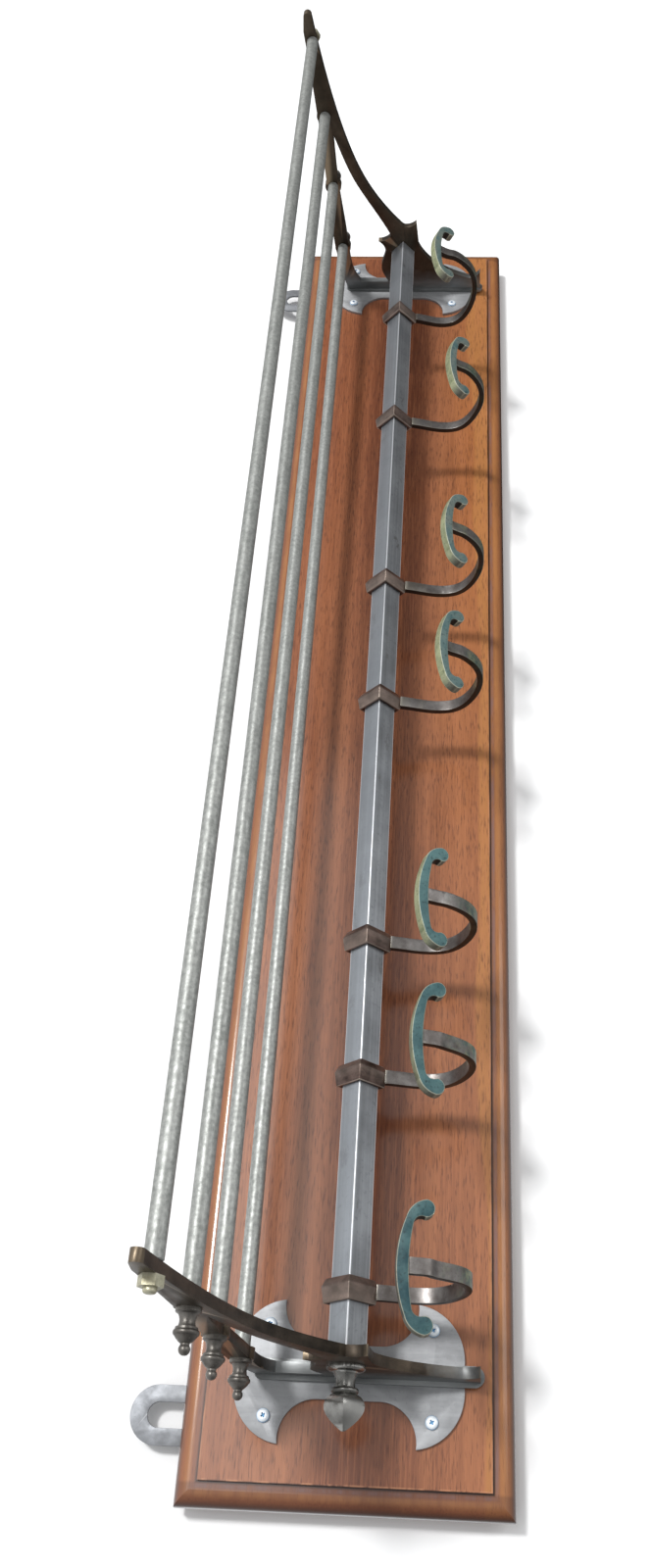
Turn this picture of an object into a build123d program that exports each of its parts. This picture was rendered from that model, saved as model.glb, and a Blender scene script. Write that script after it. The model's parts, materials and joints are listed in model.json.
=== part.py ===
from build123d import *
import os
from math import cos, radians, sin

os.makedirs("parts", exist_ok=True)

# Wall rack for coats and hats. X runs along the rack, -Y points out of the wall, Z is up. Millimetres.
# The origin is the centre of the board's back face, where the rack meets the wall.

# --- backboard: a slab with a raised centre field and a thumbnail moulding round it ---
board_length = 1460.0
board_height = 246.0
board_thickness = 22.0
moulding_width = 17.0
field_step = 3.5
thumbnail_radius = 11.0

# --- brackets, measured out from the board's face (out) and up from its middle (up) ---
rack_middle_x = 5.0
web_spacing = 1285.4
web_thickness = 8.0
plate_thickness = 3.0
foot_strip_width = 15.0
foot_strip_thickness = 3.0
plate_tab_x = 31.7
plate_tab_z = 61.6

# --- square rail that the hooks slide on, standing on its edge ---
rail_side = 20.0
rail_out = 57.2
rail_stub_radius = 5.0

# --- four round rods of the hat shelf: distance out, height ---
rod_radius = 6.0
rod_stub_radius = 4.0
rod_places = [(307.5, 96.1), (226.2, 87.3), (142.3, 82.2), (62.4, 74.2)]
bore_clearance = 0.2

# --- hooks: a square collar, a J-shaped arm and a C-shaped crossbar ---
collar_length = 17.5
collar_clearance = 0.35
collar_ridge_x = 3.0
collar_ridge_side = 30.4
collar_left_side = 27.4
collar_right_side = 25.6
arm_root = 19.0
arm_width = 11.0
arm_thickness = 5.5
crossbar_half = 44.2
crossbar_band = 8.5
crossbar_depth = 9.0
knob_radius = 6.2

# Each hook: its place along the rail, how far out and how low its crossbar stands, and the crossbar's tilt.
hooks = [
    (-592.0, 147.0, -34.5, 7.0),
    (-428.0, 148.0, -40.5, 15.0),
    (-309.0, 150.0, -42.5, 25.0),
    (-55.0, 149.0, -55.0, 32.0),
    (91.5, 150.5, -57.5, 31.0),
    (334.0, 146.0, -59.5, 35.0),
    (515.0, 155.0, -40.0, 31.0),
]

# --- hanging plates on the back of the board ---
hanger_width = 42.0
hanger_thickness = 2.5
hanger_bottom = 62.0
hanger_top = 164.0
hanger_slot_width = 18.0
hanger_slot_low = 120.0
hanger_places = {"left": -669.0, "right": 653.0}

face_y = -board_thickness
web_x = {"left": rack_middle_x - web_spacing / 2, "right": rack_middle_x + web_spacing / 2}
outward = {"left": -1, "right": 1}
stub_reach = web_thickness + 6.0


def side_plane(x):
    """A plane across the rack at x: its local x runs out from the board's face, its local y runs up."""
    return Plane(origin=(x, face_y, 0), x_dir=(0, -1, 0), z_dir=(-1, 0, 0))


def along_plane(x, out, up):
    """A plane across the rack, facing +X, with its origin on a rod or rail axis."""
    return Plane(origin=(x, face_y - out, up), x_dir=(0, 1, 0), z_dir=(1, 0, 0))


def save(part, name):
    part.label = name
    export_step(part, f"parts/{name}.step")


# ---------------------------------------------------------------- backboard
plate_screw_spots = [
    (web_x[side] + dx, dz)
    for side in ("left", "right")
    for dx in (-plate_tab_x, plate_tab_x)
    for dz in (-plate_tab_z, plate_tab_z)
]
hanger_screw_spots = [(hanger_places[side], z) for side in ("left", "right") for z in (76.0, 98.0)]

with BuildPart() as backboard:
    with BuildSketch(Plane.XZ):
        Rectangle(board_length, board_height)
    extrude(amount=board_thickness - field_step)
    front_rim = backboard.faces().sort_by(Axis.Y)[0].edges()
    fillet(front_rim, radius=thumbnail_radius)
    with BuildSketch(Plane.XZ.offset(board_thickness - field_step)):
        Rectangle(board_length - 2 * moulding_width, board_height - 2 * moulding_width)
    extrude(amount=field_step)
    # rebates that let the hanging plates in flush with the back
    with BuildSketch(Plane.XZ):
        with Locations(*[(x, (hanger_bottom + board_height / 2) / 2) for x in hanger_places.values()]):
            Rectangle(hanger_width + 0.6, board_height / 2 - hanger_bottom + 0.6)
    extrude(amount=hanger_thickness, mode=Mode.SUBTRACT)
    # pilot holes for the plate screws, from the front
    with BuildSketch(Plane.XZ.offset(board_thickness)):
        with Locations(*plate_screw_spots):
            Circle(2.2)
    extrude(amount=-17.0, mode=Mode.SUBTRACT)
    # pilot holes for the hanging-plate screws, from the back
    with BuildSketch(Plane.XZ.offset(hanger_thickness)):
        with Locations(*hanger_screw_spots):
            Circle(1.9)
    extrude(amount=13.0, mode=Mode.SUBTRACT)
save(backboard.part, "backboard")

# ---------------------------------------------------------------- hanging plates
for side, x in hanger_places.items():
    slot_high = hanger_top - 13.0 - hanger_slot_width / 2
    with BuildPart() as hanger:
        with BuildSketch(Plane.XZ):
            with BuildLine():
                Line((x - hanger_width / 2, hanger_bottom), (x + hanger_width / 2, hanger_bottom))
                Line((x + hanger_width / 2, hanger_bottom), (x + hanger_width / 2, hanger_top - 21))
                RadiusArc(
                    (x + hanger_width / 2, hanger_top - 21),
                    (x - hanger_width / 2, hanger_top - 21),
                    -21,
                )
                Line((x - hanger_width / 2, hanger_top - 21), (x - hanger_width / 2, hanger_bottom))
            make_face()
            with Locations((x, (hanger_slot_low + slot_high) / 2)):
                SlotCenterToCenter(slot_high - hanger_slot_low, hanger_slot_width, 90, mode=Mode.SUBTRACT)
            with Locations((x, 76.0), (x, 98.0)):
                Circle(2.1, mode=Mode.SUBTRACT)
        extrude(amount=hanger_thickness)
        back_circles = hanger.faces().sort_by(Axis.Y)[-1].edges().filter_by(GeomType.CIRCLE)
        chamfer(back_circles.sort_by(Axis.Z)[:2], length=1.2)
    save(hanger.part, f"hanger_{side}")

with BuildPart() as countersunk_screw:
    with BuildSketch(Plane.XY):
        with BuildLine():
            Polyline((0, 0), (3.3, 0), (2.1, -1.2), (1.7, -2.0), (1.7, -10.0), (0, -12.5), (0, 0))
        make_face()
    revolve(axis=Axis.Y)
    with BuildSketch(Plane.XZ):
        Rectangle(4.4, 0.9)
    extrude(amount=0.7, mode=Mode.SUBTRACT)

with BuildPart() as hanger_screws:
    with Locations(*[(x, 0, z) for x, z in hanger_screw_spots]):
        add(countersunk_screw.part)
save(hanger_screws.part, "hanger_screws")

# ---------------------------------------------------------------- wall plates
for side, x in web_x.items():
    with BuildPart() as wall_plate:
        with BuildSketch(Plane.XZ.offset(board_thickness)):
            # half of a double axe head: straight waist, concave neck, pointed lobe, rounded end
            with BuildLine():
                Line((x + 19, 0), (x + 19, 22))
                ThreePointArc((x + 19, 22), (x + 27.5, 43), (x + 50, 50.5))
                ThreePointArc((x + 50, 50.5), (x + 38, 74.5), (x, 84))
                ThreePointArc((x, 84), (x - 38, 74.5), (x - 50, 50.5))
                ThreePointArc((x - 50, 50.5), (x - 27.5, 43), (x - 19, 22))
                Polyline((x - 19, 22), (x - 19, 0), (x + 19, 0))
            make_face()
            mirror(about=Plane.XZ)
            with Locations((x, 0)):
                with GridLocations(2 * plate_tab_x, 2 * plate_tab_z, 2, 2):
                    Circle(2.4, mode=Mode.SUBTRACT)
        extrude(amount=plate_thickness)
    save(wall_plate.part, f"wall_plate_{side}")

with BuildPart() as pan_screw:
    with BuildSketch(Plane.XY):
        with BuildLine():
            Line((0, -3.1), (1.8, -3.1))
            ThreePointArc((1.8, -3.1), (4.3, -2.3), (5.0, -0.6))
            Polyline((5.0, -0.6), (4.8, 0), (2.0, 0), (2.0, 15.0), (0, 18.0), (0, -3.1))
        make_face()
    revolve(axis=Axis.Y)
    with BuildSketch(Plane.XZ.offset(3.1)):
        Rectangle(5.4, 1.2, rotation=30)
        Rectangle(1.2, 5.4, rotation=30)
    extrude(amount=-1.6, mode=Mode.SUBTRACT)

for side in web_x:
    with BuildPart() as plate_screws:
        with Locations(
            *[
                (web_x[side] + dx, face_y - plate_thickness, dz)
                for dx in (-plate_tab_x, plate_tab_x)
                for dz in (-plate_tab_z, plate_tab_z)
            ]
        ):
            add(pan_screw.part)
    save(plate_screws.part, f"plate_screws_{side}")

# ---------------------------------------------------------------- brackets
for side, x in web_x.items():
    with BuildPart() as bracket:
        with BuildSketch(side_plane(x)):
            # outer edge: along the arm, round its tip, back under the brace to the leaf and the foot
            with BuildLine():
                Line((plate_thickness, -97), (plate_thickness, 69))
                Spline((plate_thickness, 69), (60, 83), (149, 90), (227, 96), (318, 105.5))
                Line((318, 105.5), (333, 104.5))
                ThreePointArc((333, 104.5), (337, 100.5), (333, 96))
                Spline((333, 96), (300, 90), (238, 76), (193, 62.6), (149, 44), (113, 20), (90, -1))
                ThreePointArc((90, -1), (90.5, -9), (95, -16))
                ThreePointArc((95, -16), (80, -17.5), (66, -19))
                Spline((66, -19), (52, -28), (34, -50), (21, -82))
                ThreePointArc((21, -82), (23, -90), (29, -96))
                Line((29, -96), (plate_thickness, -97))
            make_face()
            # window between the arm, the brace and the spine
            with BuildLine():
                Spline((205, 79), (167, 77.5), (130, 74.6), (92, 70), (50, 66), (32, 63), (15, 54))
                Line((15, 54), (15, 18))
                Spline((15, 18), (22.5, 22.6), (36, 27), (55, 22), (71, 30))
                ThreePointArc((71, 30), (73, 21), (79, 14.5))
                Spline((79, 14.5), (112, 34), (153, 58.5), (191, 74), (205, 79))
            make_face(mode=Mode.SUBTRACT)
            # bosses for the rods
            with Locations(*rod_places[1:]):
                Circle(9.5)
            with Locations(*rod_places):
                Circle(rod_stub_radius + bore_clearance, mode=Mode.SUBTRACT)
            with Locations((rail_out, 0)):
                Circle(rail_stub_radius + bore_clearance, mode=Mode.SUBTRACT)
        extrude(amount=web_thickness / 2, both=True)
        # flat foot strip that lies on the wall plate
        with BuildSketch(Plane.XZ.offset(board_thickness + plate_thickness)):
            with Locations((x, -14.0)):
                SlotOverall(172.0, foot_strip_width, rotation=90)
        extrude(amount=foot_strip_thickness)
    save(bracket.part, f"bracket_{side}")

# ---------------------------------------------------------------- rods of the hat shelf
inner_left = web_x["left"] + web_thickness / 2
inner_length = web_spacing - web_thickness
for number, (out, up) in enumerate(rod_places, start=1):
    with BuildPart() as rod:
        with BuildSketch(along_plane(inner_left, out, up)):
            Circle(rod_radius)
        extrude(amount=inner_length)
        chamfer(rod.edges(), length=0.6)
        with BuildSketch(along_plane(inner_left - stub_reach, out, up)):
            Circle(rod_stub_radius)
        extrude(amount=inner_length + 2 * stub_reach)
    save(rod.part, f"hat_rod_{number}")

# ---------------------------------------------------------------- square rail
with BuildPart() as rail:
    with BuildSketch(along_plane(inner_left, rail_out, 0)):
        RectangleRounded(rail_side, rail_side, 0.8, rotation=45)
    extrude(amount=inner_length)
    with BuildSketch(along_plane(inner_left - stub_reach, rail_out, 0)):
        Circle(rail_stub_radius)
    extrude(amount=inner_length + 2 * stub_reach)
save(rail.part, "hook_rail")

# ---------------------------------------------------------------- turned finials
# Profile along +X from the bracket's face: base disc, waisted neck, onion, small neck, knob.
with BuildPart() as rod_finial:
    with BuildSketch(Plane.XY):
        with BuildLine():
            Polyline((0, 0), (0, 8), (2.2, 8), (2.8, 7.4), (3.4, 6.2))
            ThreePointArc((3.4, 6.2), (7, 4.9), (10.6, 5.6))
            Polyline((10.6, 5.6), (10.9, 6.8), (12.2, 7.0))
            ThreePointArc((12.2, 7.0), (14.0, 8.1), (15.8, 7.0))
            ThreePointArc((15.8, 7.0), (18.3, 5.0), (20.0, 2.9))
            Line((20.0, 2.9), (21.0, 2.8))
            ThreePointArc((21.0, 2.8), (23.6, 3.6), (26.6, 1.2))
            Polyline((26.6, 1.2), (26.6, 0), (0, 0))
        make_face()
    revolve(axis=Axis.X)
    with BuildSketch(Plane.YZ):
        Circle(rod_stub_radius + bore_clearance)
    extrude(amount=6.2, mode=Mode.SUBTRACT)

# Rail finial: round foot, neck and ring, then a square-cut acorn standing on its edge.
with BuildPart() as rail_finial:
    with BuildSketch(Plane.XY):
        with BuildLine():
            Polyline((0, 0), (0, 14), (2.6, 14), (4.0, 12.4), (4.6, 9.4))
            ThreePointArc((4.6, 9.4), (9.6, 7.2), (15.0, 7.4))
            ThreePointArc((15.0, 7.4), (16.8, 9.8), (18.6, 7.4))
            Line((18.6, 7.4), (18.6, 0))
            Line((18.6, 0), (0, 0))
        make_face()
    revolve(axis=Axis.X)
    acorn = (
        (18.6, 12.0), (20.5, 16.4), (23.0, 19.2), (26.0, 20.4), (29.0, 20.0),
        (32.0, 18.0), (35.0, 14.6), (38.0, 10.2), (40.6, 5.6), (42.6, 1.4),
    )
    for station, width in acorn:
        with BuildSketch(Plane.YZ.offset(station)):
            Rectangle(width, width, rotation=45)
    loft(ruled=True)
    with BuildSketch(Plane.YZ):
        Circle(rail_stub_radius + bore_clearance)
    extrude(amount=6.2, mode=Mode.SUBTRACT)

# Plain hexagon nut of the outermost rod, with the rod's domed thread end standing out of it.
with BuildPart() as rod_nut:
    with BuildSketch(Plane.YZ):
        RegularPolygon(radius=6.5, side_count=6, major_radius=False, rotation=30)
    extrude(amount=6.4)
    with BuildSketch(Plane.YZ.offset(6.4)):
        Circle(4.0)
    extrude(amount=3.4)
    fillet(rod_nut.faces().sort_by(Axis.X)[-1].edges(), radius=1.8)
    with BuildSketch(Plane.YZ):
        Circle(rod_stub_radius + bore_clearance)
    extrude(amount=6.2, mode=Mode.SUBTRACT)

for side, x in web_x.items():
    outer_face = x + outward[side] * web_thickness / 2
    turn = 0 if side == "right" else 180
    with BuildPart() as end_cap:
        with Locations(Location((outer_face, face_y - rail_out, 0), (0, 0, turn))):
            add(rail_finial.part)
    save(end_cap.part, f"rail_finial_{side}")
    with BuildPart() as end_nut:
        with Locations(Location((outer_face, face_y - rod_places[0][0], rod_places[0][1]), (0, 0, turn))):
            add(rod_nut.part)
    save(end_nut.part, f"rod_nut_{side}")
    for number in (2, 3, 4):
        out, up = rod_places[number - 1]
        with BuildPart() as end_finial:
            with Locations(Location((outer_face, face_y - out, up), (0, 0, turn))):
                add(rod_finial.part)
        save(end_finial.part, f"rod_finial_{side}_{number}")

# ---------------------------------------------------------------- sliding hooks
collar_bore = rail_side + 2 * collar_clearance
collar_sections = (
    (-collar_length / 2, collar_left_side),
    (collar_ridge_x, collar_ridge_side),
    (collar_length / 2, collar_right_side),
)
for number, (x, out, up, tilt) in enumerate(hooks, start=1):
    lean = radians(tilt)
    with BuildPart() as collar:
        # forged to a ridge all round, a little right of its middle
        for station, width in collar_sections:
            with BuildSketch(along_plane(x + station, rail_out, 0)):
                Rectangle(width, width, rotation=45)
        loft(ruled=True)
        with BuildSketch(along_plane(x, rail_out, 0)):
            Rectangle(collar_bore, collar_bore, rotation=45)
        extrude(amount=collar_length, both=True, mode=Mode.SUBTRACT)
    save(collar.part, f"hook_{number}_collar")

    # The crossbar's plane leans: its face looks out and down, and its hollow side is turned to the arm.
    face = Plane(
        origin=(x, face_y - out, up),
        x_dir=(1, 0, 0),
        z_dir=(0, -cos(lean), -sin(lean)),
    )
    with BuildPart() as crossbar:
        with BuildSketch(face):
            knob_u = crossbar_half - knob_radius
            with BuildLine():
                # back of the C, its rounded ends, the knobs, and the hollow side
                ThreePointArc((-32, -6), (0, 0), (32, -6))
                ThreePointArc((-28, -11.2), (0, -crossbar_band), (28, -11.2))
                for end in (-1, 1):
                    ThreePointArc((end * 32, -6), (end * 40.4, -11.3), (end * crossbar_half, -19.5))
                    ThreePointArc(
                        (end * crossbar_half, -19.5),
                        (end * knob_u, -19.5 - knob_radius),
                        (end * (knob_u - knob_radius), -19.5),
                    )
                    ThreePointArc(
                        (end * (knob_u - knob_radius), -19.5),
                        (end * 31.9, -14.2),
                        (end * 28, -11.2),
                    )
            make_face()
        extrude(amount=-crossbar_depth)
    save(crossbar.part, f"hook_{number}_crossbar")

    # The arm drops from the collar's lower corner, swings out and rises into the crossbar's hollow side.
    end_out = out - sin(lean) * crossbar_band - cos(lean) * crossbar_depth / 2
    end_up = up - cos(lean) * crossbar_band + sin(lean) * crossbar_depth / 2
    lowest = 0.4 * up - 70.5
    rise = end_up - lowest
    with BuildPart() as arm:
        with BuildSketch(side_plane(x)):
            with BuildLine():
                Spline(
                    (rail_out, -arm_root),
                    (rail_out - 5.4, -46),
                    (rail_out - 2.7, lowest + 22),
                    (rail_out + 16, lowest + 6),
                    (end_out - 46, lowest),
                    (end_out - 20, lowest + 0.19 * rise),
                    (end_out - 6.5, lowest + 0.6 * rise),
                    (end_out + 0.5 * sin(lean), end_up + 0.5 * cos(lean)),
                    tangents=((-0.15, -1), (sin(lean), cos(lean))),
                )
            trace(line_width=arm_thickness)
        extrude(amount=arm_width / 2, both=True)
        add(collar.part, mode=Mode.SUBTRACT)
        add(crossbar.part, mode=Mode.SUBTRACT)
    save(arm.part, f"hook_{number}_arm")
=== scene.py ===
# %% [markdown]
# # A wall rack for coats and hats
# An old hallway rack: a moulded hardwood board, two forged brackets, four rods that make a
# shelf for hats, and a square rail along which seven coat hooks slide. Every piece sits in the
# same metres as the engineering model, so nothing has to be fitted by eye: a piece asks the
# frame where its neighbours are. X runs along the rack, -Y points into the room, Z is up.

import json
import math

import bmesh
import bpy
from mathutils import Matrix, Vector


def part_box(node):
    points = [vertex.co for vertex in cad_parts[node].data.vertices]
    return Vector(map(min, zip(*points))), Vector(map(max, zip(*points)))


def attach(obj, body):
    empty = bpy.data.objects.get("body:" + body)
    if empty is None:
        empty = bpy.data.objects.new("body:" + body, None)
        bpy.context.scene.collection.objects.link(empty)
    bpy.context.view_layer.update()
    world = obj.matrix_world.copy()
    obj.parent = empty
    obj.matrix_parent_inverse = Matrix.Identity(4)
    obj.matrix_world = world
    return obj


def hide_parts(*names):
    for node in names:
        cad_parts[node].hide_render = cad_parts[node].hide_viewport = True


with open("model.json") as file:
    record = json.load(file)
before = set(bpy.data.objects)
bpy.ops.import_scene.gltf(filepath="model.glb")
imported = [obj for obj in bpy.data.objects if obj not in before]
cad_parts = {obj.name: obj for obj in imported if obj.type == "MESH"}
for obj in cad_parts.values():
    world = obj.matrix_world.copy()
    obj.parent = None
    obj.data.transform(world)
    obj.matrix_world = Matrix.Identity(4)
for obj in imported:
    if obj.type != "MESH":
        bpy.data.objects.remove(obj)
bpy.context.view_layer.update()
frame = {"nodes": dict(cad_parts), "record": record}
nodes = frame["nodes"]

# %% [markdown]
# ## The camera
# The rack is looked at from near its left end and a little below its rail, at arm's length, so
# the near bracket is large and the far one is small. The camera is rolled a quarter turn, which
# stands the long rack upright in a tall picture. It is made first, because every later choice
# of detail depends on how large a piece shows.

# %% Camera
camera = bpy.data.objects.new("camera", bpy.data.cameras.new("camera"))
bpy.context.scene.collection.objects.link(camera)
camera.location = (-0.80489, -1.06244, -0.0504)
camera.rotation_mode = "QUATERNION"
camera.rotation_quaternion = (0.339358, 0.638017, 0.340298, -0.601638)
camera.data.lens = 29.874
camera.data.shift_x = -0.0291
camera.data.shift_y = 0.0179
camera.data.clip_start = 0.01
bpy.context.scene.camera = camera
print("camera stands", round(camera.location.length, 2), "m from the middle of the board")

# %% [markdown]
# ## Shader sums as plain expressions
# A finish is a sum: a base colour, plus a darker one where a mask says so, and so on. The little
# class below wraps a node socket, so that such a sum reads as Python: `1 - mask` or `a * b`
# adds the Math nodes by itself. Colours go through `mix`, because a Math node would turn them grey.


# %% Socket class
class Sock:
    """A socket of a node tree that can be added, multiplied and compared."""

    def __init__(self, tree, socket):
        self.tree, self.socket = tree, socket

    def _math(self, operation, *values):
        return node(self.tree, "ShaderNodeMath", {"operation": operation}, dict(enumerate(values)))[0]

    def __add__(self, other):
        return self._math("ADD", self, other)

    def __radd__(self, other):
        return self._math("ADD", other, self)

    def __sub__(self, other):
        return self._math("SUBTRACT", self, other)

    def __rsub__(self, other):
        return self._math("SUBTRACT", other, self)

    def __mul__(self, other):
        return self._math("MULTIPLY", self, other)

    def absolute(self):
        return self._math("ABSOLUTE", self)

    def least(self, other):
        """The smaller of two values."""
        return self._math("MINIMUM", self, other)

    def clamp(self):
        return node(self.tree, "ShaderNodeClamp", {}, {"Value": self})[0]

    def between(self, low, high):
        """0 below low, 1 above high, straight in between."""
        ends = {"Value": self, "From Min": low, "From Max": high}
        return node(self.tree, "ShaderNodeMapRange", {"clamp": True}, ends)[0]

    def band(self, start, full, fade, end):
        """1 from full to fade, and 0 before start and after end."""
        return self.between(start, full) * (1 - self.between(fade, end))

    def split(self):
        """The x, y and z of a vector."""
        return node(self.tree, "ShaderNodeSeparateXYZ", {}, {"Vector": self})


def node(tree, kind, settings, sockets):
    """Any node: its settings first, then values or links for its inputs. Returns its outputs."""
    made = tree.nodes.new(kind)
    for key, value in settings.items():
        setattr(made, key, value)
    for key, value in sockets.items():
        if isinstance(value, Sock):
            tree.links.new(value.socket, made.inputs[key])
        else:
            made.inputs[key].default_value = value
    return [Sock(tree, output) for output in made.outputs]


def mix(a, b, factor):
    """Colour a, turning into colour b where factor is 1."""
    a = a if isinstance(a, Sock) else (*a, 1.0)
    b = b if isinstance(b, Sock) else (*b, 1.0)
    return node(factor.tree, "ShaderNodeMix", {"data_type": "RGBA"}, {0: factor, 6: a, 7: b})[2]


print("a Sock has", len([name for name in vars(Sock) if not name.startswith("__")]), "named methods")

# %% [markdown]
# ## What the finishes ask of a point
# Every finish asks the same few things: where a point is, which way the surface faces there, how
# sharp the mesh is, and how cloudy a noise is. Each question gets a short name here. All lengths
# are in metres, in the frame that the pieces share.


# %% Questions to the surface
def object_place(tree):
    """Where a point is on its piece, before any hook slides."""
    return node(tree, "ShaderNodeTexCoord", {}, {})[3]


def surface_facing(tree):
    """The direction that the surface faces."""
    return node(tree, "ShaderNodeNewGeometry", {}, {})[1]


def seen_from_behind(tree):
    """1 on the back of a face, 0 on its front."""
    return node(tree, "ShaderNodeNewGeometry", {}, {})[6]


def edge_wear(tree, flat, sharp):
    """0 in the flats and hollows, 1 along raised edges, from how pointed the mesh is."""
    return node(tree, "ShaderNodeNewGeometry", {}, {})[7].between(flat, sharp)


def noise(tree, place, scale, detail=4.0, rough=0.55, twist=0.0):
    """Cloudy noise from 0 to 1, scale features to the metre."""
    sockets = {"Vector": place, "Scale": scale, "Detail": detail, "Roughness": rough, "Distortion": twist}
    return node(tree, "ShaderNodeTexNoise", {"normalize": True}, sockets)[0]


def stretched(tree, x, y, z, shift=(0.0, 0.0, 0.0)):
    """The place of a point, scaled so that noise is drawn out along one axis."""
    sockets = {"Vector": object_place(tree), "Location": shift, "Scale": (x, y, z)}
    return node(tree, "ShaderNodeMapping", {}, sockets)[0]


def bump(tree, height, strength, distance):
    return node(tree, "ShaderNodeBump", {}, {"Height": height, "Strength": strength, "Distance": distance})[0]


def finish(name, paint, **constants):
    """A material. paint(tree) returns what varies; constants go straight on the shader."""
    material = bpy.data.materials.new(name)
    material.use_nodes = True
    tree = material.node_tree
    shader = tree.nodes["Principled BSDF"]
    for socket, value in constants.items():
        shader.inputs[socket.replace("_", " ")].default_value = value
    for socket, value in paint(tree).items():
        tree.links.new(value.socket, shader.inputs[socket])
    return material


finishes = {}
print("finishes so far:", len(finishes))

# %% [markdown]
# ## Room and light
# The light is that of a bright room. The surround fills the shadows. It is brightest in front and
# a little above, and dim towards both ends of the rack, because varnish and polished steel show
# whatever they face, and a white room all round would bleach them.

# %% Room
world = bpy.data.worlds.new("room")
world.use_nodes = True
sky = world.node_tree
toward = node(sky, "ShaderNodeTexCoord", {}, {})[0]
x_way, _, z_way = toward.split()
darkest, level_front = 0.06, 0.55
above = z_way.between(-0.02, 0.22) * 0.42
right_end = x_way.between(0.35, 0.80) * 0.75
left_end = (0 - x_way).between(0.25, 0.85) * 0.45
strength = (level_front + above - (right_end + left_end)).between(0.0, 1.0) + darkest
sky.nodes["Background"].inputs["Color"].default_value = (0.97, 0.985, 1.0, 1.0)
sky.links.new(strength.socket, sky.nodes["Background"].inputs["Strength"])
bpy.context.scene.world = world
bpy.context.scene.view_settings.view_transform = "Standard"
print("room made:", len(sky.nodes), "nodes")

# %% [markdown]
# The key light stands high in front and far off, so it is a Sun lamp: it lights both ends alike,
# and the rods and the rail draw their shadows along the board. A wide lamp stands where the
# varnish mirrors it to the viewer, which gives the upper left of the board its milky sheen. A
# weak lamp from below lifts the lower moulding.


# %% Lamps
def lamp(name, kind, energy, place, target, **settings):
    """A lamp that stands at place and is turned to target."""
    made = bpy.data.objects.new(name, bpy.data.lights.new(name, kind))
    made.data.energy = energy
    for key, value in settings.items():
        setattr(made.data, key, value)
    made.location = place
    made.rotation_euler = (Vector(target) - Vector(place)).to_track_quat("-Z", "Y").to_euler()
    bpy.context.scene.collection.objects.link(made)


board_center = (0.0, 0.0, 0.0)
lamp("key_light", "SUN", 2.1, (0.75, -2.5, 1.1), board_center, angle=0.15)
wide = {"shape": "RECTANGLE", "size": 2.2, "size_y": 0.7}
lamp("wide_window", "AREA", 10.0, (0.5, -2.5, 0.58), (0.5, 0.0, 0.3), **wide)
lamp("low_fill", "AREA", 10.0, (0.2, -1.5, -1.5), board_center, size=1.2)
print("lights:", len(bpy.data.lights))

# %% [markdown]
# ## Wood
# The moulding is painted darker in its quirk, a painted shadow, and lighter on its round, a painted
# highlight. Where a point is on the board says which, so the masks come from its distance to the rim. Reading
# them off the mesh would not do: the field is one large face, and what is known at its corners smears over
# it.

# %% Places on the board
board_low, board_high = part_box("backboard")
board_middle = [(a + b) / 2 for a, b in zip(board_low, board_high)]
half_long = (board_high[0] - board_low[0]) / 2
half_tall = (board_high[2] - board_low[2]) / 2


def end_distance(x):
    """How far a point of the board is from the nearer end."""
    return half_long - (x - board_middle[0]).absolute()


def rim_distance(x, z):
    """How far a point of the board is from its rim, taken on the flat."""
    from_side = half_tall - (z - board_middle[2]).absolute()
    return end_distance(x).least(from_side)


print("board:", round(2 * half_long, 3), "by", round(2 * half_tall, 3))

# %% [markdown]
# The board is a red-brown hardwood under satin varnish. Its figure is long streaks along X, a
# slow change of tone over a hand's breadth, and fine dark pores, short and thin, that catch the
# light. Each of them is one noise drawn out along the grain by a different amount.


# %% Figure of the wood
def wood_figure(tree, x, z):
    """The bare field: its colour, its fibre and its pores."""
    streaks = noise(tree, stretched(tree, 0.8, 22.0, 22.0), 5.0, 5.0, 0.6, 0.3)
    bands = noise(tree, stretched(tree, 0.5, 3.0, 3.0, (3.0, 1.0, 2.0)), 4.0, 2.0, 0.5, 0.8)
    fibre = noise(tree, stretched(tree, 14.0, 420.0, 420.0), 1.6, 2.0, 0.5)
    flecks = noise(tree, stretched(tree, 85.0, 820.0, 820.0, (1.0, 5.0, 3.0)), 1.1, 2.0, 0.5)
    pores = (1 - flecks).between(0.54, 0.70)
    tone = (streaks * 0.45 + bands * 0.55).between(0.36, 0.64)
    dark, pale = (0.185, 0.061, 0.027), (0.345, 0.130, 0.054)
    wood = mix(dark, pale, tone)
    # toward the right end the wood turns a darker red above the rail and golden below it
    red = x.between(-0.40, 0.45) * (z + 0.04).between(0.0, 0.05) * 0.6
    wood = mix(wood, (0.190, 0.050, 0.018), red.clamp())
    gold = x.between(-0.50, 0.30) * (0 - z).between(0.045, 0.085) * 0.6
    wood = mix(wood, (0.345, 0.118, 0.028), gold.clamp())
    # a paler, golden strip of sapwood along the lower edge, and a painted shadow of the rail: a dark red band
    # along it
    wander = noise(tree, stretched(tree, 1.0, 0.2, 0.2, (2.0, 0.0, 0.0)), 2.2, 2.0, 0.5)
    sapwood = (0 - z + wander * 0.05 + x * 0.012).between(0.118, 0.121)
    wood = mix(wood, (0.395, 0.165, 0.048), (sapwood * 0.75).clamp())
    # painted shadow of the rail, deeper toward the right end
    rail_shadow = 1 - (z + 0.006).absolute().between(0.022, 0.048)
    wood = mix(wood, (0.115, 0.030, 0.014), (rail_shadow * (x.between(-0.6, 0.6) * 0.25 + 0.42)).clamp())
    wood = mix(wood, (0.42, 0.155, 0.066), (fibre.between(0.45, 0.72) * 0.4).clamp())
    wood = mix(wood, (0.070, 0.020, 0.010), (pores * 0.55).clamp())
    return wood, fibre, pores


print("figure of the wood: streaks, bands, fibre and pores")
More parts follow.
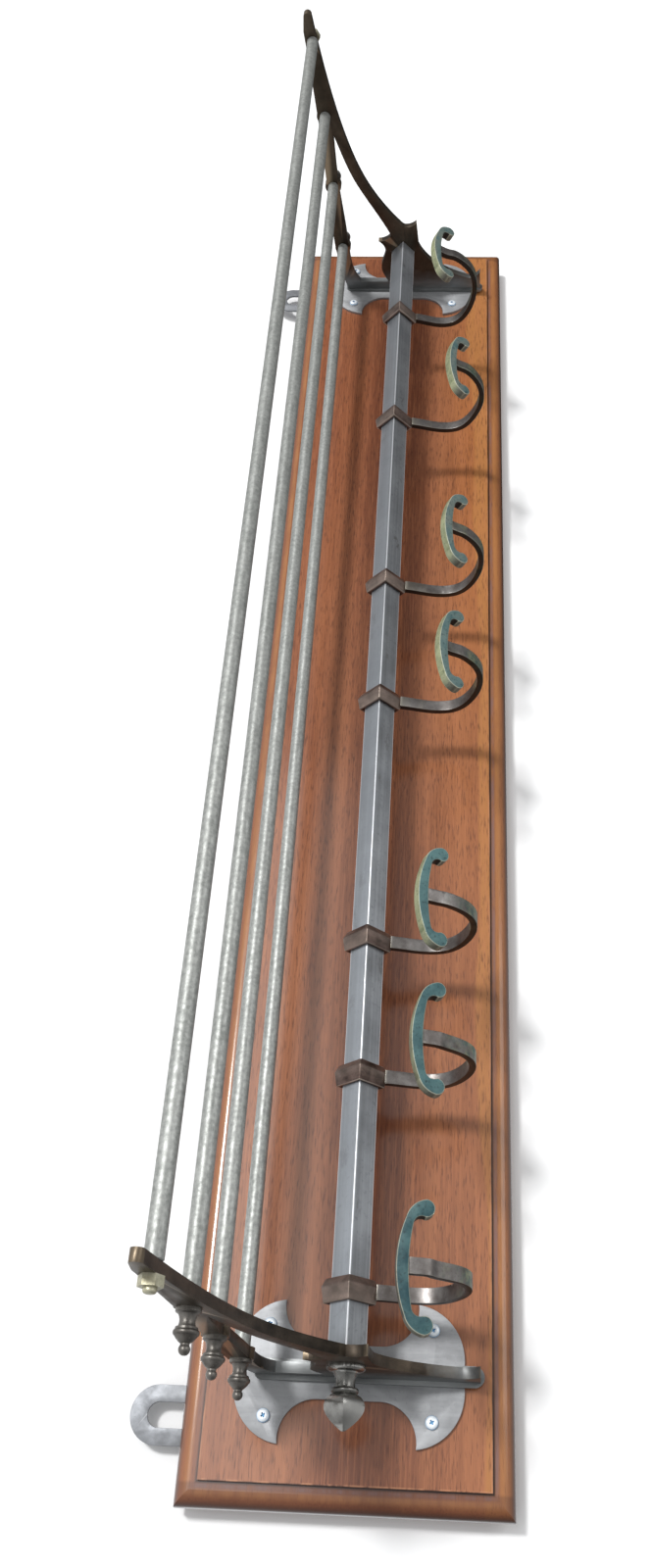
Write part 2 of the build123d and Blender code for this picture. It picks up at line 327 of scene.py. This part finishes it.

# %% [markdown]
# Then comes the moulding, from the rim inwards: a dark outer edge, a round with a painted golden highlight, a
# cove with a painted grey-purple reflection, a quirk with a painted black shadow and the lip of the field
# with a painted pale highlight. The whole moulding is also painted darker, partly stain and partly painted
# shade. The varnish is a thin clear coat over it all.


# %% Moulding and varnish
def wood_paint(tree):
    x, _, z = object_place(tree).split()
    wood, fibre, pores = wood_figure(tree, x, z)
    rim = rim_distance(x, z)
    patchy = noise(tree, stretched(tree, 1.5, 8.0, 8.0, (7.0, 2.0, 1.0)), 14.0, 4.0, 0.6)
    # the whole moulding painted darker, partly stain and partly painted shade
    moulding_stain_and_shade = 1 - rim.between(0.0165, 0.0172)
    # painted grey-purple reflection in the cove
    cove_reflection = rim.band(0.0118, 0.0132, 0.0146, 0.0160)
    # painted golden highlight on the round
    round_highlight = rim.band(0.0050, 0.0085, 0.0105, 0.0125)
    outer_edge = 1 - rim.between(0.0008, 0.0046)
    # painted black shadow in the quirk, the step down from the field
    quirk_shadow = rim.band(0.0146, 0.0164, 0.0168, 0.0178)
    # painted pale highlight on the lip of the field
    lip_highlight = rim.band(0.0168, 0.0172, 0.0178, 0.0184)
    end_grain = 1 - end_distance(x).between(0.0150, 0.0170)
    for color, mask in [
        ((0.170, 0.058, 0.027), moulding_stain_and_shade * 0.55),
        ((0.190, 0.105, 0.095), cove_reflection * patchy.between(0.40, 0.60) * 0.8),
        ((0.40, 0.170, 0.055), round_highlight * (patchy.between(0.30, 0.6) * 0.5 + 0.15)),
        ((0.040, 0.012, 0.007), outer_edge * 0.85),
        ((0.016, 0.006, 0.004), quirk_shadow * 0.95),
        ((0.46, 0.20, 0.095), lip_highlight * patchy.between(0.42, 0.58) * 0.7),
        ((0.085, 0.028, 0.014), end_grain * 0.45),
    ]:
        wood = mix(wood, color, mask.clamp())
    return {
        "Base Color": wood,
        "Roughness": 0.46 + fibre * 0.14,
        "Normal": bump(tree, fibre * 0.3 - pores * 0.7, 0.4, 0.0004),
    }


varnish = {"Coat_Weight": 1.0, "Coat_Roughness": 0.16, "Specular_IOR_Level": 0.15}
finishes["board_wood"] = finish("board_wood", wood_paint, **varnish)
print("wood made:", len(finishes["board_wood"].node_tree.nodes), "nodes")

# %% [markdown]
# ## Metals
# Old metal is never one colour. Two tones lie in patches, dark specks of rust or dirt sit on
# them, scratches run the way the piece was drawn or wiped, and its raised edges are rubbed
# bright. One function makes them all, and a recipe says how much of each.


# %% Old metal
def metal_paint(dark, light, worn, grain, rough, dents, patches, wear=(0.515, 0.58), wear_amount=0.8):
    """Two tones in patches, a worn colour on the edges, scratches drawn out along grain.

    rough is the roughness of the rubbed and of the dull parts, dents the depth of the bumps,
    patches how many patches there are to the metre, wear the flat and sharp ends of edge_wear.
    """

    def paint(tree):
        patch = noise(tree, stretched(tree, 1.0, 1.0, 1.0), patches, 5.0, 0.6).between(0.38, 0.64)
        speck = noise(tree, stretched(tree, 1.0, 1.0, 1.0, (2.0, 4.0, 1.0)), patches * 14, 4.0, 0.65)
        scratch = noise(tree, stretched(tree, *grain, (5.0, 1.0, 7.0)), 60.0, 3.0, 0.6)
        tone = mix(dark, light, (patch * 0.65 + scratch.between(0.35, 0.7) * 0.45).clamp())
        tone = mix(tone, dark, (speck.between(0.56, 0.70) * 0.7).clamp())
        edge = edge_wear(tree, *wear)
        tone = mix(tone, worn, (edge * wear_amount).clamp())
        low, high = rough
        return {
            "Base Color": tone,
            "Roughness": (high - (patch * 0.5 + edge * 0.5) * (high - low)).clamp(),
            "Normal": bump(tree, speck * 0.6 + scratch * 0.4, 0.45, dents),
        }

    return paint


def add_metals(recipes):
    """Makes a finish of every recipe. A recipe also says how metallic the surface still is."""
    for name, (metallic, recipe) in recipes.items():
        finishes[name] = finish(name, metal_paint(**recipe), Metallic=metallic)
    print("made", ", ".join(recipes))


print("made so far:", ", ".join(finishes))

# %% [markdown]
# The rods are dull and evenly speckled. The wall plates and the hanging plates are plain sheet,
# dull grey, with broad patches.

# %% Rod and plate steel
add_metals({
    "rod_steel": (0.55, {
        "dark": (0.19, 0.20, 0.187), "light": (0.42, 0.43, 0.41), "worn": (0.5, 0.5, 0.48),
        "grain": (0.8, 4, 4), "rough": (0.42, 0.60), "dents": 0.00022, "patches": 330.0,
        "wear_amount": 0.1,
    }),
    "plate_steel": (0.7, {
        "dark": (0.24, 0.243, 0.25), "light": (0.39, 0.396, 0.406), "worn": (0.50, 0.51, 0.52),
        "grain": (4, 1, 0.5), "rough": (0.50, 0.62), "dents": 0.0001, "patches": 26.0,
    }),
    "hanger_steel": (0.6, {
        "dark": (0.14, 0.146, 0.156), "light": (0.27, 0.28, 0.30), "worn": (0.45, 0.46, 0.47),
        "grain": (3, 1, 3), "rough": (0.42, 0.56), "dents": 0.00012, "patches": 70.0,
    }),
})

# %% [markdown]
# The turned finials are grey-brown bronze, and the acorns at the ends of the rail are the
# glossiest metal on the rack. The collars are a redder bronze with bright ridges. The two
# outermost nuts are yellow brass.

# %% Bronze and brass
add_metals({
    "finial_bronze": (0.75, {
        "dark": (0.085, 0.077, 0.068), "light": (0.24, 0.225, 0.205), "worn": (0.40, 0.38, 0.34),
        "grain": (3, 3, 3), "rough": (0.28, 0.42), "dents": 0.0001, "patches": 80.0,
        "wear": (0.56, 0.66), "wear_amount": 0.5,
    }),
    "acorn_steel": (0.9, {
        "dark": (0.075, 0.073, 0.068), "light": (0.26, 0.255, 0.24), "worn": (0.60, 0.59, 0.56),
        "grain": (2, 2, 2), "rough": (0.14, 0.32), "dents": 0.00025, "patches": 75.0,
        "wear": (0.52, 0.58), "wear_amount": 0.6,
    }),
    "collar_bronze": (0.7, {
        "dark": (0.036, 0.021, 0.016), "light": (0.185, 0.125, 0.105), "worn": (0.62, 0.52, 0.44),
        "grain": (4, 1, 1), "rough": (0.26, 0.42), "dents": 0.0004, "patches": 95.0,
        "wear": (0.53, 0.59), "wear_amount": 0.9,
    }),
    "nut_brass": (0.6, {
        "dark": (0.30, 0.275, 0.18), "light": (0.62, 0.60, 0.45), "worn": (0.75, 0.72, 0.58),
        "grain": (3, 3, 3), "rough": (0.28, 0.45), "dents": 0.0001, "patches": 80.0,
        "wear": (0.56, 0.66), "wear_amount": 0.5,
    }),
})

# %% [markdown]
# The rail is drawn bar, scratched lengthways, with a painted highlight, a bright line, along each of its four
# corners.
# It stands on its edge, so a corner is where a point is level with the rail's middle, or straight above or
# below it. The upper facets are painted lighter and bluer than the lower ones, a painted reflection of the
# room that lights them.


# %% Rail steel
def rail_paint(tree):
    paint = metal_paint(
        dark=(0.19, 0.198, 0.208),
        light=(0.38, 0.396, 0.418),
        worn=(0.5, 0.5, 0.5),
        grain=(0.05, 7, 7),
        rough=(0.24, 0.42),
        dents=0.00012,
        patches=16.0,
        wear_amount=0.0,
    )(tree)
    _, y, z = object_place(tree).split()
    middle_y, middle_z = [(a + b) / 2 for a, b in zip(*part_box("hook_rail"))][1:]
    stain = noise(tree, stretched(tree, 1.0, 2.0, 2.0), 34.0, 5.0, 0.7).between(0.60, 0.70)
    tone = mix(paint["Base Color"], (0.105, 0.095, 0.082), (stain * 0.6).clamp())
    # painted reflection: the upper facets lighter and bluer
    upper_reflection = z.between(middle_z - 0.003, middle_z + 0.003)
    tone = mix(tone, (0.40, 0.43, 0.47), (upper_reflection * 0.5).clamp())
    # painted highlight: a bright line along each corner of the rail
    level_corner_highlight = 1 - (z - middle_z).absolute().between(0.0004, 0.0008)
    top_corner_highlight = 1 - (y - middle_y).absolute().between(0.0004, 0.0009)
    corner_highlight = (level_corner_highlight + top_corner_highlight).clamp()
    paint["Base Color"] = mix(tone, (0.90, 0.92, 0.95), (corner_highlight * 0.9).clamp())
    return paint


finishes["rail_steel"] = finish("rail_steel", rail_paint, Metallic=0.65)
print("rail made:", len(finishes["rail_steel"].node_tree.nodes), "nodes")

# %% [markdown]
# The screws are the only new thing on the rack: bright zinc with a blue tint, painted a darker blue in the
# cross as painted shade in the recess. How deep a point lies in the head says whether it is in the cross.


# %% Screw zinc
def screw_paint(tree):
    paint = metal_paint(
        dark=(0.66, 0.72, 0.78),
        light=(0.86, 0.91, 0.95),
        worn=(0.98, 0.99, 1.0),
        grain=(1, 1, 1),
        rough=(0.22, 0.36),
        dents=0.00005,
        patches=120.0,
        wear_amount=0.0,
    )(tree)
    y = object_place(tree).split()[1]
    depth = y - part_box("plate_screws_left")[0][1]
    # painted shade: the cross recess a darker blue
    cross_shade = depth.band(0.0009, 0.0014, 0.0017, 0.0019)
    paint["Base Color"] = mix(paint["Base Color"], (0.10, 0.33, 0.60), cross_shade.clamp())
    return paint


finishes["screw_zinc"] = finish("screw_zinc", screw_paint, Metallic=0.2)
print("screws made:", len(finishes["screw_zinc"].node_tree.nodes), "nodes")

# %% [markdown]
# The bracket is one forging but not one colour. Its spine, against the wall plate, was cleaned
# back to grey steel with the plate; the arm and the brace kept their brown-black skin. The distance
# from the board decides: the two colours meet about two centimetres out.


# %% Bracket iron
def bracket_paint(tree):
    paint = metal_paint(
        dark=(0.022, 0.017, 0.012),
        light=(0.080, 0.060, 0.043),
        worn=(0.36, 0.28, 0.19),
        grain=(3, 0.8, 0.8),
        rough=(0.30, 0.46),
        dents=0.0002,
        patches=40.0,
        wear=(0.515, 0.57),
    )(tree)
    place = object_place(tree)
    y = place.split()[1]
    ragged = noise(tree, place, 60.0, 4.0, 0.6)
    near_wall = (y + ragged * 0.016).between(-0.046, -0.030)
    streak = noise(tree, stretched(tree, 1.0, 1.0, 0.3), 50.0, 4.0, 0.6).between(0.3, 0.7)
    grey = mix((0.12, 0.125, 0.125), (0.28, 0.29, 0.29), streak)
    paint["Base Color"] = mix(paint["Base Color"], grey, near_wall)
    return paint


finishes["bracket_iron"] = finish("bracket_iron", bracket_paint, Metallic=0.75)
print("bracket made:", len(finishes["bracket_iron"].node_tree.nodes), "nodes")

# %% [markdown]
# The hook arms have a bloom of green in the bend, where damp coats hung, so theirs is decided by height and
# reach. The narrow side of the strap, which looks to the left, is painted nearly black as painted shade,
# because it is turned away from the light.


# %% Arm bronze
def arm_paint(tree):
    paint = metal_paint(
        dark=(0.080, 0.068, 0.062),
        light=(0.25, 0.235, 0.225),
        worn=(0.55, 0.51, 0.42),
        grain=(1, 1, 1),
        rough=(0.28, 0.42),
        dents=0.00015,
        patches=60.0,
        wear=(0.515, 0.57),
    )(tree)
    place = object_place(tree)
    _, y, z = place.split()
    cloud = noise(tree, place, 75.0, 4.0, 0.6).between(0.42, 0.58)
    bend = (1 - z.between(-0.088, -0.062)) * (1 - y.between(-0.112, -0.095))
    bloom = noise(tree, place, 160.0, 3.0, 0.6).between(0.4, 0.6)
    green = mix((0.06, 0.14, 0.115), (0.33, 0.36, 0.22), bloom)
    tone = mix(paint["Base Color"], green, (bend * cloud * 0.85).clamp())
    # painted shade: the narrow side facing -X nearly black
    shaded_narrow_side = (0 - surface_facing(tree).split()[0]).between(0.80, 0.97)
    paint["Base Color"] = mix(tone, (0.022, 0.018, 0.015), (shaded_narrow_side * 0.85).clamp())
    return paint


finishes["arm_bronze"] = finish("arm_bronze", arm_paint, Metallic=0.75)
print("arm made:", len(finishes["arm_bronze"].node_tree.nodes), "nodes")

# %% [markdown]
# ## Verdigris
# A crossbar's flat face has gone blue-green. Its back, turned up to the light, is painted a paler
# yellow-green as painted light. Which of them a point is on comes from the way the surface faces. The hooks
# near the left end are bluer and darker than the others, so the colours also change along the rack, and there
# the back is painted near black, partly dark patina and partly painted shade.
# Fingers have kept the edges clean, so there the pale brass shows, and the pale edge is partly a painted
# highlight.


# %% Crossbar bronze
def crossbar_paint(tree):
    cloud = noise(tree, stretched(tree, 1.0, 1.0, 1.0), 70.0, 5.0, 0.62)
    fine = noise(tree, stretched(tree, 1.0, 1.0, 1.0, (4.0, 2.0, 1.0)), 420.0, 4.0, 0.6)
    patch = cloud.between(0.35, 0.65)
    facing_x, _, facing_z = surface_facing(tree).split()
    up = facing_z.between(0.25, 0.7)
    x = object_place(tree).split()[0]
    paler = cloud.between(0.36, 0.66) * 0.6 + x.between(-0.62, -0.30) * 0.5
    face = mix((0.006, 0.040, 0.050), (0.080, 0.160, 0.160), paler.clamp())
    olive = x.between(-0.25, 0.1) * cloud.between(0.30, 0.55) * 0.8
    face = mix(face, (0.125, 0.135, 0.115), olive.clamp())
    # near the left end the back is near black, partly dark patina and partly painted shade
    shaded_dark_side = mix((0.018, 0.017, 0.015), (0.06, 0.056, 0.042), patch)
    # painted light: the back, where it faces up, is pale yellow-green
    lit_pale_side = mix((0.12, 0.14, 0.070), (0.28, 0.30, 0.165), patch)
    side = mix(shaded_dark_side, lit_pale_side, (x + cloud * 0.1).between(-0.50, -0.30))
    tone = mix(face, side, up)
    # painted shade: faces turned to -X are nearly black where they do not face up
    shaded_end = (0 - facing_x).between(0.45, 0.75)
    tone = mix(tone, (0.020, 0.016, 0.012), (shaded_end * (1 - up)).clamp())
    tone = mix(tone, (0.006, 0.020, 0.022), (fine.between(0.55, 0.68) * 0.7).clamp())
    # worn pale brass along the edges, partly a painted highlight
    worn_edge_and_highlight = edge_wear(tree, 0.525, 0.565) * fine.between(0.28, 0.42)
    return {
        "Base Color": mix(tone, (0.84, 0.81, 0.62), worn_edge_and_highlight.clamp()),
        "Metallic": worn_edge_and_highlight * 0.6,
        "Roughness": (0.46 - worn_edge_and_highlight * 0.16 + fine * 0.12).clamp(),
        "Normal": bump(tree, fine + cloud * 0.5, 0.5, 0.0003),
    }


finishes["crossbar_bronze"] = finish("crossbar_bronze", crossbar_paint, Specular_IOR_Level=0.35)
print("finishes:", ", ".join(finishes))

# %% [markdown]
# ## Softened copies of the forged and cast pieces
# The engineering solids are the right shape, but their edges are knife sharp, and no real edge
# is. A copy of each solid is cleaned of its needless triangle edges, and a Bevel modifier rounds what
# is left. The bevel is what catches the light along an arris, and it gives the wear masks an
# edge to find.

# %% Softening
slot_of = {entry["node"]: entry["material_slot"] for entry in frame["record"]["subparts"]}
body_of = {name: body for body, names in frame["record"]["behaviour"]["bodies"].items() for name in names}


def finish_of(name):
    """The finish of a node. The acorns share the finials' slot, but are polished brighter."""
    return finishes["acorn_steel" if name.startswith("rail_finial") else slot_of[name]]


def clean_copy(source, flat):
    """A copy of a mesh without the edges between faces that are within flat degrees of level."""
    mesh = source.copy()
    work = bmesh.new()
    work.from_mesh(mesh)
    bmesh.ops.remove_doubles(work, verts=work.verts, dist=1e-6)
    bmesh.ops.dissolve_limit(
        work,
        angle_limit=math.radians(flat),
        use_dissolve_boundaries=False,
        verts=work.verts,
        edges=work.edges,
    )
    work.to_mesh(mesh)
    work.free()
    for face in mesh.polygons:
        face.use_smooth = True
    return mesh


def soften(name, width, angle, flat):
    """A bevelled copy of a frame node, with the same name plus _soft, riding on the same body."""
    mesh = clean_copy(nodes[name].data, flat)
    mesh.materials.clear()
    mesh.materials.append(finish_of(name))
    made = bpy.data.objects.new(f"{name}_soft", mesh)
    bpy.context.scene.collection.objects.link(made)
    bevel = made.modifiers.new("bevel", "BEVEL")
    bevel.width = width
    bevel.segments = 3
    bevel.limit_method = "ANGLE"
    bevel.angle_limit = math.radians(angle)
    bevel.harden_normals = True
    bevel.use_clamp_overlap = True
    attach(made, body_of[name])
    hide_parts(name)
    return made


print("slots:", ", ".join(sorted(set(slot_of.values()))))

# %% [markdown]
# Each kind of piece has its own bevel width: a forging is rounder than a sheet. A collar's ridges
# are shallow, so its bevel starts at a smaller angle, and a bent arm is cleaned more gently, which
# keeps its curve. The pieces that are not softened, the board, the rods, the turned finials, the
# nuts and the screws, keep their own meshes and only take their finish.

# %% Softened copies
usual_angle, collar_angle = 32.0, 18.0
usual_flat, arm_flat = 0.6, 0.15
widths = {
    "bracket": 0.0012,
    "wall_plate": 0.0005,
    "hanger_l": 0.0005,
    "hanger_r": 0.0005,
    "hook_rail": 0.0005,
    "collar": 0.0009,
    "arm": 0.0011,
    "crossbar": 0.0007,
    "rail_finial": 0.0005,
}
softened = []
for name in sorted(nodes):
    width = next((w for key, w in widths.items() if key in name), 0.0)
    if width:
        angle = collar_angle if "collar" in name else usual_angle
        flat = arm_flat if "arm" in name else usual_flat
        softened.append(soften(name, width, angle, flat).name)
    else:
        nodes[name].data.materials.clear()
        nodes[name].data.materials.append(finish_of(name))
print("softened:", len(softened), "kept:", len(nodes) - len(softened))

# %% [markdown]
# ## The wall behind
# One large pale plane, a hair behind the board. It is stage, not object: it is seen from the front
# and takes shadows, but it is clear from behind and keeps no light from the back of the board.

# %% Wall
pale = finish("pale_wall", lambda tree: {}, Base_Color=(0.86, 0.86, 0.86, 1.0), Roughness=0.9)
wall_tree = pale.node_tree
clear = node(wall_tree, "ShaderNodeBsdfTransparent", {}, {})[0]
painted = Sock(wall_tree, wall_tree.nodes["Principled BSDF"].outputs[0])
parts = {0: seen_from_behind(wall_tree), 1: painted, 2: clear}
shown = node(wall_tree, "ShaderNodeMixShader", {}, parts)[0]
wall_tree.links.new(shown.socket, wall_tree.nodes["Material Output"].inputs["Surface"])
reach, gap = 9.0, 0.012
corners = [(-reach, gap, -reach), (reach, gap, -reach), (reach, gap, reach), (-reach, gap, reach)]
wall_mesh = bpy.data.meshes.new("wall")
wall_mesh.from_pydata(corners, [], [(0, 1, 2, 3)])
wall_mesh.materials.append(pale)
wall = bpy.data.objects.new("wall", wall_mesh)
bpy.context.scene.collection.objects.link(wall)
wall.visible_diffuse = wall.visible_glossy = wall.visible_shadow = False
print("wall stands", gap, "m behind the board")

# %% [markdown]
# ## Sizes
# The finished model must fill the same box as the engineering model.
